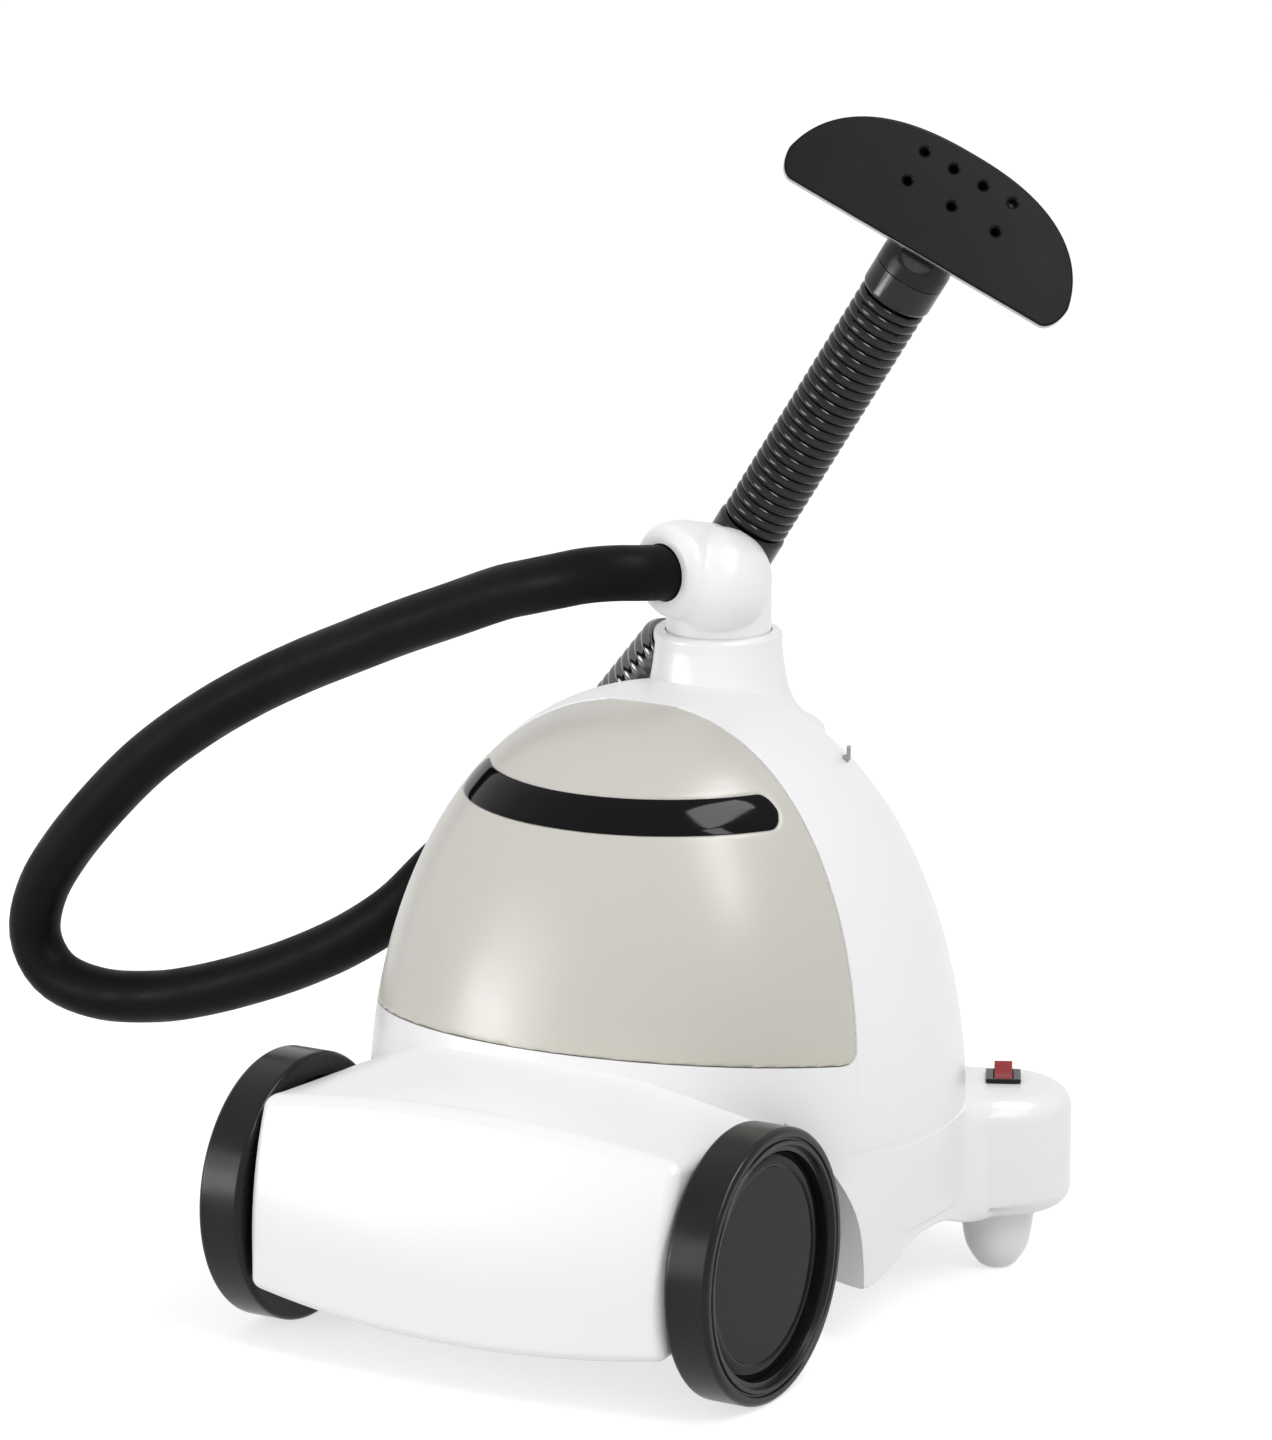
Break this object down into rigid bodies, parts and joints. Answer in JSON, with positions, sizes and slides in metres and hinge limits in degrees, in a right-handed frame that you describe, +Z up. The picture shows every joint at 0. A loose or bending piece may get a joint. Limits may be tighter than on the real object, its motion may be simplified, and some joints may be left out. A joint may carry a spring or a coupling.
{
  "type": "wallpaper steamer",
  "caption": "Compact wheeled steamer: domed lift-off tank, rolling base with rear feet, hose, and a ribbed wand with a flat half-moon steam head parked upright.",
  "frame": {"origin": "on the floor, under the middle of the bounding box of everything except the free hose", "axes": "+Z up; +X to the right of someone facing the front; +Y to the back"},
  "size_m": [0.6296, 0.391, 0.6116],
  "materials": {
    "white_abs": "gloss",
    "milky_tank": "satin, translucent",
    "black_gloss": "gloss",
    "black_satin": "satin",
    "wheel_disc_black": "gloss",
    "gunmetal_gloss": "metallic gloss",
    "hose_black": "matte",
    "rocker_red": "gloss",
    "steel": "bright",
    "cast_aluminium": "as cast",
    "silicone": "matte",
    "grey_plastic": "matte"
  },
  "bodies": {
    "base": {"lower_housing": "white_abs", "bottom_plate": "white_abs", "rear_foot_left": "white_abs", "rear_foot_right": "white_abs", "axle": "steel", "axle_nut_left": "steel", "axle_nut_right": "steel", "rear_shell": "white_abs", "valve_seat": "grey_plastic", "water_tube": "silicone", "boiler": "cast_aluminium", "heating_element": "steel", "thermostat": "grey_plastic", "thermal_fuse": "grey_plastic", "steam_tube": "silicone", "switch_bezel": "black_satin", "cord_gland": "black_satin", "cord_hook": "grey_plastic", "hose_boot": "black_gloss", "hose": "hose_black"},
    "wheel_left": {"tyre_left": "black_satin", "hub_left": "black_satin", "wheel_cover_left": "wheel_disc_black"},
    "wheel_right": {"tyre_right": "black_satin", "hub_right": "black_satin", "wheel_cover_right": "wheel_disc_black"},
    "tank": {"tank_shell": "milky_tank", "tank_band": "black_gloss"},
    "cap": {"tank_cap": "white_abs", "valve_seal": "black_satin", "valve_cage": "white_abs", "valve_spring": "steel"},
    "valve": {"valve_stem": "grey_plastic"},
    "rocker": {"switch_rocker": "rocker_red"},
    "wand": {"elbow": "white_abs", "lower_collar": "gunmetal_gloss", "grip": "gunmetal_gloss", "upper_collar": "gunmetal_gloss", "head_body": "black_satin", "head_plate": "black_satin"}
  },
  "joints": [
    {"name": "wheel_left_spin", "type": "hinge", "parent": "base", "child": "wheel_left", "pos_m": [-0.13785, -0.1217, 0.07], "axis": [1, 0, 0], "continuous": true},
    {"name": "wheel_right_spin", "type": "hinge", "parent": "base", "child": "wheel_right", "pos_m": [0.13355, -0.1217, 0.07], "axis": [1, 0, 0], "continuous": true},
    {"name": "tank_lift", "type": "slide", "parent": "base", "child": "tank", "axis": [0, 0, 1], "range_m": [0, 0.08]},
    {"name": "cap_turn", "type": "hinge", "parent": "tank", "child": "cap", "pos_m": [-0.00215, -0.0617, 0.141], "axis": [0, 0, 1], "range_deg": [0, 90]},
    {"name": "valve_press", "type": "slide", "parent": "cap", "child": "valve", "axis": [0, 0, 1], "range_m": [0, 0.004], "stiffness_N_per_m": 150, "springref_m": -0.002, "deforming": ["valve_spring"]},
    {"name": "switch_rock", "type": "hinge", "parent": "base", "child": "rocker", "pos_m": [0.13785, 0.1383, 0.1012], "axis": [0.891, 0.454, 0], "range_deg": [-20, 0]},
    {"name": "wand_lift", "type": "slide", "parent": "base", "child": "wand", "axis": [0, 0, 1], "range_m": [0, 0.06], "deforming": ["hose"]}
  ]
}
